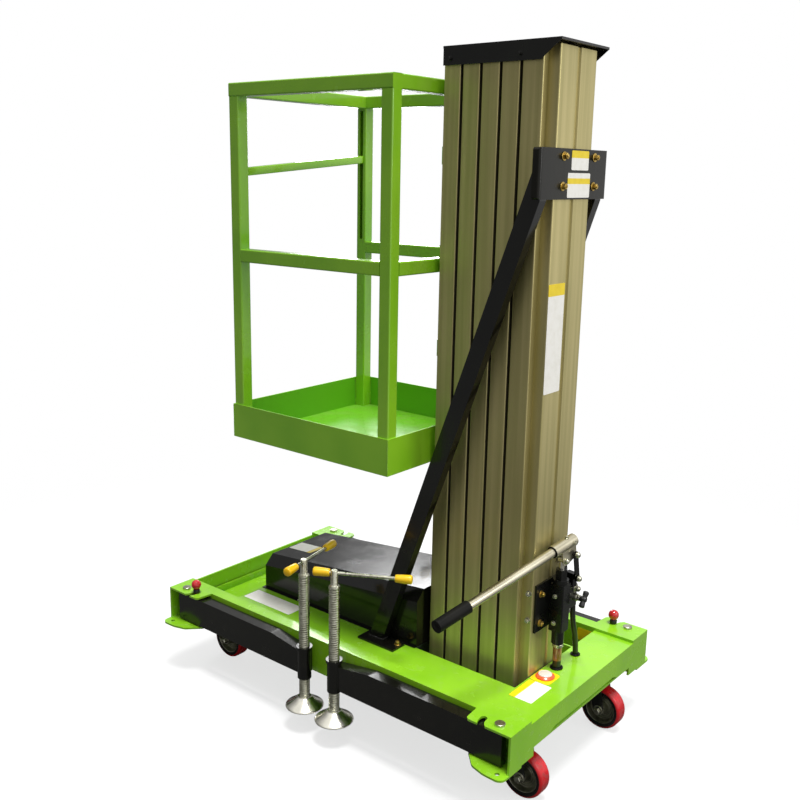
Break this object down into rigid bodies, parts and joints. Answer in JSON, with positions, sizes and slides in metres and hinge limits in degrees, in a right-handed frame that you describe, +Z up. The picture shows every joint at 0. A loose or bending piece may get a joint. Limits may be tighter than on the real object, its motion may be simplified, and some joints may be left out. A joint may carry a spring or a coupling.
{
  "type": "vertical mast lift",
  "caption": "Small push-around work platform: a telescoping aluminium mast on a wheeled green base with fold-out screw-jack outriggers carries a one-person basket.",
  "frame": {"origin": "on the floor, under the middle of the wheeled base", "axes": "+Z up, -X to the front (the basket end), +Y to the machine's right-hand side"},
  "size_m": [1.3535, 0.9371, 1.937],
  "materials": {
    "green_paint": "gloss",
    "black_paint": "gloss",
    "mast_aluminium": "satin",
    "zinc_steel": "satin",
    "chrome_steel": "polished",
    "hub_steel": "satin",
    "red_tyre": "satin",
    "yellow_plastic": "matte",
    "red_plastic": "gloss",
    "black_plastic": "matte",
    "black_hose": "matte",
    "pack_grey": "matte"
  },
  "bodies": {
    "chassis": {"side_rails": "green_paint", "end_front": "green_paint", "end_rear": "green_paint", "corner_ears": "green_paint", "corner_lobes": "green_paint", "pivot_pins": "zinc_steel", "deck": "green_paint", "floor_pan": "green_paint", "cross_plates": "green_paint", "front_castors": "zinc_steel", "castor_plates": "zinc_steel", "power_cover": "black_paint", "power_pack": "pack_grey", "mast_fixed": "mast_aluminium", "mast_bracket": "black_paint", "brace_left": "black_paint", "brace_right": "black_paint", "pump_body": "black_paint", "pump_gland": "zinc_steel", "pump_link": "zinc_steel", "pump_hoses": "black_hose", "stop_button": "red_plastic"},
    "wheel_front_left": {"tyre_front_left": "red_tyre", "hub_front_left": "hub_steel"},
    "swivel_left": {"castor_fork_left": "zinc_steel"},
    "wheel_rear_left": {"tyre_rear_left": "red_tyre", "hub_rear_left": "hub_steel"},
    "wheel_front_right": {"tyre_front_right": "red_tyre", "hub_front_right": "hub_steel"},
    "swivel_right": {"castor_fork_right": "zinc_steel"},
    "wheel_rear_right": {"tyre_rear_right": "red_tyre", "hub_rear_right": "hub_steel"},
    "outrigger_front_left": {"arm_front_left": "black_paint", "lock_front_left": "red_plastic"},
    "leg_front_left": {"jack_front_left": "zinc_steel", "grips_front_left": "yellow_plastic"},
    "outrigger_rear_left": {"arm_rear_left": "black_paint"},
    "leg_rear_left": {"jack_rear_left": "zinc_steel", "grips_rear_left": "yellow_plastic"},
    "outrigger_front_right": {"arm_front_right": "black_paint"},
    "leg_front_right": {"jack_front_right": "zinc_steel", "grips_front_right": "yellow_plastic"},
    "outrigger_rear_right": {"arm_rear_right": "black_paint", "lock_rear_right": "red_plastic"},
    "leg_rear_right": {"jack_rear_right": "zinc_steel", "grips_rear_right": "yellow_plastic"},
    "stage_1": {"mast_stage_1": "mast_aluminium"},
    "stage_2": {"mast_stage_2": "mast_aluminium"},
    "stage_3": {"mast_stage_3": "mast_aluminium"},
    "stage_4": {"mast_stage_4": "mast_aluminium", "mast_cap": "black_plastic", "basket_tray": "green_paint", "basket_posts": "green_paint", "basket_top_rail": "green_paint", "basket_mid_rails": "green_paint", "basket_mount": "black_paint"},
    "gate": {"entry_bar": "green_paint"},
    "lever": {"pump_lever": "mast_aluminium", "pump_grip": "black_plastic"},
    "plunger": {"pump_plunger": "chrome_steel"}
  },
  "joints": [
    {"name": "roll_front_left", "type": "hinge", "parent": "chassis", "child": "wheel_front_left", "pos_m": [-0.5535, -0.219, 0.0635], "axis": [0, 1, 0], "continuous": true},
    {"name": "swivel_rear_left", "type": "hinge", "parent": "chassis", "child": "swivel_left", "pos_m": [0.588, -0.219, 0.16], "axis": [0, 0, 1], "continuous": true},
    {"name": "roll_rear_left", "type": "hinge", "parent": "swivel_left", "child": "wheel_rear_left", "pos_m": [0.62, -0.219, 0.0635], "axis": [0, 1, 0], "continuous": true},
    {"name": "roll_front_right", "type": "hinge", "parent": "chassis", "child": "wheel_front_right", "pos_m": [-0.5535, 0.219, 0.0635], "axis": [0, 1, 0], "continuous": true},
    {"name": "swivel_rear_right", "type": "hinge", "parent": "chassis", "child": "swivel_right", "pos_m": [0.588, 0.219, 0.16], "axis": [0, 0, 1], "continuous": true},
    {"name": "roll_rear_right", "type": "hinge", "parent": "swivel_right", "child": "wheel_rear_right", "pos_m": [0.62, 0.219, 0.0635], "axis": [0, 1, 0], "continuous": true},
    {"name": "swing_front_left", "type": "hinge", "parent": "chassis", "child": "outrigger_front_left", "pos_m": [-0.618, -0.354, 0.21], "axis": [0, 0, 1], "range_deg": [-120, 0]},
    {"name": "screw_front_left", "type": "slide", "parent": "outrigger_front_left", "child": "leg_front_left", "axis": [0, 0, 1], "range_m": [-0.072, 0.045]},
    {"name": "swing_rear_left", "type": "hinge", "parent": "chassis", "child": "outrigger_rear_left", "pos_m": [0.618, -0.354, 0.21], "axis": [0, 0, 1], "range_deg": [0, 120]},
    {"name": "screw_rear_left", "type": "slide", "parent": "outrigger_rear_left", "child": "leg_rear_left", "axis": [0, 0, 1], "range_m": [-0.072, 0.045]},
    {"name": "swing_front_right", "type": "hinge", "parent": "chassis", "child": "outrigger_front_right", "pos_m": [-0.618, 0.354, 0.21], "axis": [0, 0, 1], "range_deg": [0, 120]},
    {"name": "screw_front_right", "type": "slide", "parent": "outrigger_front_right", "child": "leg_front_right", "axis": [0, 0, 1], "range_m": [-0.072, 0.045]},
    {"name": "swing_rear_right", "type": "hinge", "parent": "chassis", "child": "outrigger_rear_right", "pos_m": [0.618, 0.354, 0.21], "axis": [0, 0, 1], "range_deg": [-120, 0]},
    {"name": "screw_rear_right", "type": "slide", "parent": "outrigger_rear_right", "child": "leg_rear_right", "axis": [0, 0, 1], "range_m": [-0.072, 0.045]},
    {"name": "lift_1", "type": "slide", "parent": "chassis", "child": "stage_1", "axis": [0, 0, 1], "range_m": [0, 1.3]},
    {"name": "lift_2", "type": "slide", "parent": "stage_1", "child": "stage_2", "axis": [0, 0, 1], "range_m": [0, 1.3]},
    {"name": "lift_3", "type": "slide", "parent": "stage_2", "child": "stage_3", "axis": [0, 0, 1], "range_m": [0, 1.3]},
    {"name": "lift_4", "type": "slide", "parent": "stage_3", "child": "stage_4", "axis": [0, 0, 1], "range_m": [0, 1.3]},
    {"name": "gate_slide", "type": "slide", "parent": "stage_4", "child": "gate", "axis": [0, 0, 1], "range_m": [-0.19, 0.13]},
    {"name": "lever_pivot", "type": "hinge", "parent": "chassis", "child": "lever", "pos_m": [0.57464, 0.03581, 0.60217], "axis": [-0.9895, 0.1444, 0], "range_deg": [-5, 55]},
    {"name": "plunger_slide", "type": "slide", "parent": "chassis", "child": "plunger", "axis": [0, 0, 1], "range_m": [-0.004, 0.034]}
  ],
  "couplings": [
    {"joint": "lift_2", "follows": "lift_1", "ratio": 1},
    {"joint": "lift_3", "follows": "lift_1", "ratio": 1},
    {"joint": "lift_4", "follows": "lift_1", "ratio": 1},
    {"joint": "plunger_slide", "follows": "lever_pivot", "m_per_rad": 0.0335}
  ]
}
